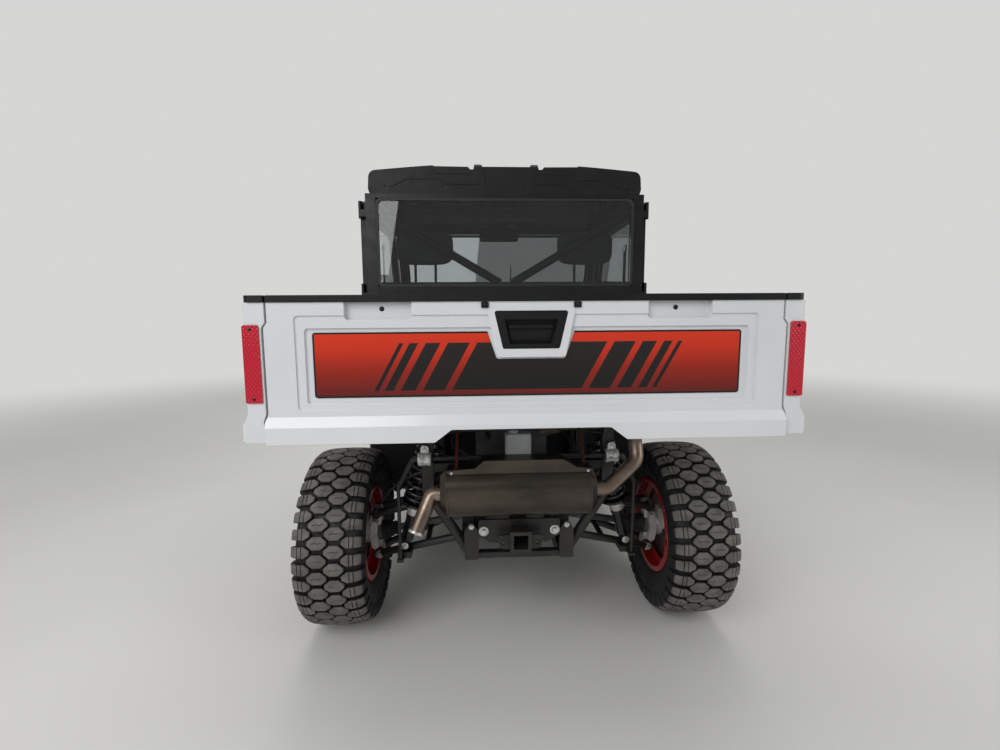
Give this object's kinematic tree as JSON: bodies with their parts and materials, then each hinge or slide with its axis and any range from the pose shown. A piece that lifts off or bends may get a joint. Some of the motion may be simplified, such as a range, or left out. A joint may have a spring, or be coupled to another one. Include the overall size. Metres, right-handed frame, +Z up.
{
  "type": "side by side utility vehicle",
  "caption": "Side by side utility vehicle with a closed cab, tipping cargo box, drop tailgate, hitch receiver and knobbly off-road tyres",
  "frame": {"origin": "on the floor under the middle of the whole length and width", "axes": "+Z up, +Y towards the tailgate, +X towards the driver's side"},
  "size_m": [1.606, 3.09, 1.94],
  "materials": {
    "body_white": "gloss moulded panel",
    "black_plastic": "grained moulding",
    "satin_black": "satin powder coat",
    "frame_black": "powder coat",
    "tyre": "matt",
    "rim_red": "gloss paint",
    "cast_metal": "cast",
    "steel": "zinc plated",
    "exhaust_steel": "heat tinted",
    "glass": "clear",
    "lamp_red": "clear lens",
    "lamp_clear": "clear lens",
    "rubber": "matt",
    "seat": "coated fabric",
    "panel_print": "printed film",
    "engine_grey": "painted casting",
    "spring_black": "gloss powder coat"
  },
  "bodies": {
    "chassis": {"frame": "frame_black", "deck": "frame_black", "front_towers": "frame_black", "outriggers": "frame_black", "stabiliser_clamps": "steel", "hitch": "frame_black", "floor": "black_plastic", "rockers": "black_plastic", "seat_cushions": "seat", "seat_backs": "seat", "headrests": "seat", "cab_frame": "satin_black", "rear_wall": "black_plastic", "window_seals": "rubber", "cab_glass": "glass", "roof": "black_plastic", "fenders": "body_white", "fascia": "black_plastic", "headlamps": "lamp_clear", "bumper": "satin_black", "cowl": "black_plastic", "engine": "engine_grey", "muffler": "exhaust_steel", "exhaust_pipe": "exhaust_steel", "stabiliser": "satin_black", "arms": "satin_black", "shocks": "spring_black", "knuckles_rear": "cast_metal", "front_drive": "engine_grey", "rear_drive": "engine_grey", "steering_column": "satin_black"},
    "hood": {"hood": "body_white"},
    "cargo_box": {"cargo_box": "body_white", "tail_lamps": "lamp_red", "rail_caps": "black_plastic"},
    "tailgate": {"tailgate": "body_white", "tailgate_panel": "panel_print", "tailgate_handle": "black_plastic", "tailgate_cap": "black_plastic"},
    "steering_wheel": {"steering_wheel": "rubber"},
    "steering_rack": {"steering_rack": "steel"},
    "steer_left": {"knuckle_front_left": "cast_metal"},
    "steer_right": {"knuckle_front_right": "cast_metal"},
    "door_left": {"door_left": "satin_black", "door_skin_left": "body_white", "door_glass_left": "glass"},
    "wheel_front_left": {"rim_front_left": "rim_red", "tyre_front_left": "tyre"},
    "wheel_rear_left": {"rim_rear_left": "rim_red", "tyre_rear_left": "tyre"},
    "door_right": {"door_right": "satin_black", "door_skin_right": "body_white", "door_glass_right": "glass"},
    "wheel_front_right": {"rim_front_right": "rim_red", "tyre_front_right": "tyre"},
    "wheel_rear_right": {"rim_rear_right": "rim_red", "tyre_rear_right": "tyre"}
  },
  "joints": [
    {"name": "hood_tilt", "type": "hinge", "parent": "chassis", "child": "hood", "pos_m": [0, -0.702, 1.119], "axis": [-1, 0, 0], "range_deg": [0, 55]},
    {"name": "box_dump", "type": "hinge", "parent": "chassis", "child": "cargo_box", "pos_m": [0, 1.15, 0.868], "axis": [-1, 0, 0], "range_deg": [0, 40]},
    {"name": "tailgate_drop", "type": "hinge", "parent": "cargo_box", "child": "tailgate", "pos_m": [0, 1.5, 0.899], "axis": [-1, 0, 0], "range_deg": [0, 90]},
    {"name": "door_left_swing", "type": "hinge", "parent": "chassis", "child": "door_left", "pos_m": [0.7, 0.414, 0.66], "axis": [0, 0, 1], "range_deg": [0, 70]},
    {"name": "door_right_swing", "type": "hinge", "parent": "chassis", "child": "door_right", "pos_m": [-0.7, 0.414, 0.66], "axis": [0, 0, -1], "range_deg": [0, 70]},
    {"name": "steer_left_turn", "type": "hinge", "parent": "chassis", "child": "steer_left", "pos_m": [0.59, -1.167, 0.343], "axis": [0, 0, 1], "range_deg": [-26, 26]},
    {"name": "steer_right_turn", "type": "hinge", "parent": "chassis", "child": "steer_right", "pos_m": [-0.59, -1.167, 0.343], "axis": [0, 0, 1], "range_deg": [-26, 26]},
    {"name": "steering_wheel_turn", "type": "hinge", "parent": "chassis", "child": "steering_wheel", "pos_m": [0.345, -0.44, 1.09], "axis": [0, 0.8716, 0.4903], "range_deg": [-270, 270]},
    {"name": "rack_slide", "type": "slide", "parent": "chassis", "child": "steering_rack", "axis": [-1, 0, 0], "range_m": [-0.044, 0.044]},
    {"name": "spin_front_left", "type": "hinge", "parent": "steer_left", "child": "wheel_front_left", "pos_m": [0.678, -1.167, 0.343], "axis": [1, 0, 0], "continuous": true},
    {"name": "spin_rear_left", "type": "hinge", "parent": "chassis", "child": "wheel_rear_left", "pos_m": [0.678, 0.89, 0.343], "axis": [1, 0, 0], "continuous": true},
    {"name": "spin_front_right", "type": "hinge", "parent": "steer_right", "child": "wheel_front_right", "pos_m": [-0.678, -1.167, 0.343], "axis": [1, 0, 0], "continuous": true},
    {"name": "spin_rear_right", "type": "hinge", "parent": "chassis", "child": "wheel_rear_right", "pos_m": [-0.678, 0.89, 0.343], "axis": [1, 0, 0], "continuous": true}
  ],
  "couplings": [
    {"joint": "steer_right_turn", "follows": "steer_left_turn", "ratio": 1},
    {"joint": "steering_wheel_turn", "follows": "steer_left_turn", "ratio": 10.385},
    {"joint": "rack_slide", "follows": "steer_left_turn", "m_per_rad": 0.09696}
  ]
}
